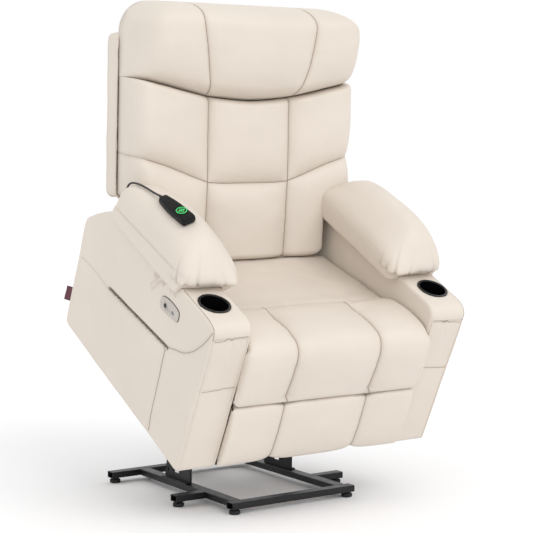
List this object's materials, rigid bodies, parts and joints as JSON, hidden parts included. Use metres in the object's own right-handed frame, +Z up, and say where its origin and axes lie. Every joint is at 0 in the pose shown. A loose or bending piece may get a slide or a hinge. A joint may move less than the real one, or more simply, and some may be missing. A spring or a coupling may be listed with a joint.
{
  "type": "lift recliner chair",
  "caption": "Power lift recliner armchair on a tubular lift base, with padded arms, cup holders, hand control and fold-out footrest, shown raised and tipped forward.",
  "frame": {"origin": "on the floor, below the middle of the bounding box", "axes": "+Z up, -Y towards the chair's front, -X towards the sitter's right"},
  "size_m": [0.914, 0.889, 1.5095],
  "materials": {
    "leather_cream": "soft satin, fine grain",
    "steel_black": "satin powder coat",
    "steel_zinc": "zinc plated",
    "plastic_black": "matt",
    "handset_black": "satin",
    "plastic_gloss": "gloss",
    "plastic_grey": "satin",
    "ring_green": "lit ring on black",
    "rubber_black": "matt",
    "cable_black": "satin",
    "plywood": "unfinished plywood"
  },
  "bodies": {
    "base": {"base_front_bar": "steel_black", "base_rear_bar": "steel_black", "base_rail_left": "steel_black", "base_bracket_left": "steel_black", "foot_front_left": "rubber_black", "foot_middle_left": "rubber_black", "foot_rear_left": "rubber_black", "base_rail_right": "steel_black", "base_bracket_right": "steel_black", "foot_front_right": "rubber_black", "foot_middle_right": "rubber_black", "foot_rear_right": "rubber_black"},
    "front_link": {"lift_front_link_left": "steel_black", "lift_front_link_right": "steel_black"},
    "rear_link": {"lift_rear_link_left": "steel_black", "lift_rear_link_right": "steel_black"},
    "lift_motor": {"lift_motor_housing": "plastic_black"},
    "lift_rod": {"lift_rod": "steel_zinc"},
    "chair": {"carriage_front_tube": "steel_black", "carriage_middle_tube": "steel_black", "carriage_rear_tube": "steel_black", "carriage_rail_left": "steel_black", "mechanism_plate_left": "steel_zinc", "carriage_rail_right": "steel_black", "mechanism_plate_right": "steel_zinc", "seat_base": "plywood", "seat_cushion": "leather_cream", "arm_left": "leather_cream", "arm_pad_left": "leather_cream", "cup_holder_left": "plastic_gloss", "arm_right": "leather_cream", "arm_pad_right": "leather_cream", "cup_holder_right": "plastic_gloss", "side_pocket_panel": "leather_cream", "usb_panel": "plastic_grey", "handset_body": "handset_black", "handset_cable": "cable_black"},
    "usb_button": {"usb_power_button": "plastic_black"},
    "handset_button": {"handset_button": "ring_green"},
    "drive_link": {"footrest_drive_link_left": "steel_zinc", "footrest_drive_link_right": "steel_zinc", "footrest_drive_shaft": "steel_zinc"},
    "carry_link": {"footrest_carry_link_left": "steel_zinc", "footrest_carry_link_right": "steel_zinc"},
    "control_link": {"footrest_control_link_left": "steel_zinc", "footrest_control_link_right": "steel_zinc"},
    "footrest": {"footrest_board": "plywood", "footrest_pad": "leather_cream"},
    "back": {"back_post_left": "plywood", "back_post_right": "plywood", "back_rail_lower": "plywood", "back_rail_upper": "plywood", "back_cover": "leather_cream", "back_cushion": "leather_cream", "headrest_cushion": "leather_cream", "back_bracket_left": "steel_black", "back_bracket_right": "steel_black", "back_drive_bar": "steel_black"},
    "recline_motor": {"recline_motor_housing": "plastic_black"},
    "recline_rod": {"recline_rod": "steel_zinc"}
  },
  "joints": [
    {"name": "lift", "type": "hinge", "parent": "base", "child": "front_link", "pos_m": [0, 0.05754, 0.205], "axis": [-1, 0, 0], "range_deg": [0, 106.9]},
    {"name": "chair_tilt", "type": "hinge", "parent": "front_link", "child": "chair", "pos_m": [0, 0.1129, 0.40534], "axis": [1, 0, 0], "range_deg": [0, 79.35]},
    {"name": "rear_link_swing", "type": "hinge", "parent": "base", "child": "rear_link", "pos_m": [0, 0.19754, 0.211], "axis": [-1, 0, 0], "range_deg": [0, 79.37]},
    {"name": "lift_motor_swing", "type": "hinge", "parent": "base", "child": "lift_motor", "pos_m": [0, 0.41354, 0.062], "axis": [1, 0, 0], "range_deg": [0, 18.01]},
    {"name": "lift_rod_slide", "type": "slide", "parent": "lift_motor", "child": "lift_rod", "axis": [0, 0.9532, -0.3023], "range_m": [0, 0.09729]},
    {"name": "back_recline", "type": "hinge", "parent": "chair", "child": "back", "pos_m": [0, 0.1828, 0.76034], "axis": [-1, 0, 0], "range_deg": [0, 38]},
    {"name": "footrest_drive", "type": "hinge", "parent": "chair", "child": "drive_link", "pos_m": [0, -0.24619, 0.39163], "axis": [-1, 0, 0], "range_deg": [0, 117.15]},
    {"name": "footrest_carry", "type": "hinge", "parent": "drive_link", "child": "carry_link", "pos_m": [0, -0.0514, 0.32984], "axis": [1, 0, 0], "range_deg": [0, 100.25]},
    {"name": "footrest_control", "type": "hinge", "parent": "drive_link", "child": "control_link", "pos_m": [0, -0.09654, 0.34416], "axis": [1, 0, 0], "range_deg": [0, 112.1]},
    {"name": "footrest_turn", "type": "hinge", "parent": "carry_link", "child": "footrest", "pos_m": [0, -0.2556, 0.29305], "axis": [-1, 0, 0], "range_deg": [0, 73.15]},
    {"name": "recline_motor_swing", "type": "hinge", "parent": "chair", "child": "recline_motor", "pos_m": [0.122, -0.07812, 0.4716], "axis": [1, 0, 0], "range_deg": [0, 3.58]},
    {"name": "recline_rod_slide", "type": "slide", "parent": "recline_motor", "child": "recline_rod", "axis": [0, -0.898, -0.4399], "range_m": [0, 0.09302]},
    {"name": "usb_power_press", "type": "slide", "parent": "chair", "child": "usb_button", "axis": [1, 0, 0], "range_m": [0, 0.002], "stiffness_N_per_m": 400, "springref_m": -0.0004},
    {"name": "handset_ring_press", "type": "slide", "parent": "chair", "child": "handset_button", "axis": [0.315, 0.4326, -0.8448], "range_m": [0, 0.0015], "stiffness_N_per_m": 400, "springref_m": -0.0004}
  ],
  "couplings": [
    {"joint": "chair_tilt", "follows": "lift", "ratio": 0.74182},
    {"joint": "rear_link_swing", "follows": "lift", "ratio": 0.74198},
    {"joint": "lift_motor_swing", "follows": "lift", "ratio": 0.16798},
    {"joint": "lift_rod_slide", "follows": "lift", "m_per_rad": 0.052034},
    {"joint": "footrest_drive", "follows": "back_recline", "ratio": 3.0816},
    {"joint": "footrest_carry", "follows": "back_recline", "ratio": 2.6368},
    {"joint": "footrest_control", "follows": "back_recline", "ratio": 2.9487},
    {"joint": "footrest_turn", "follows": "back_recline", "ratio": 1.9237},
    {"joint": "recline_motor_swing", "follows": "back_recline", "ratio": 0.093009},
    {"joint": "recline_rod_slide", "follows": "back_recline", "m_per_rad": 0.13996}
  ]
}
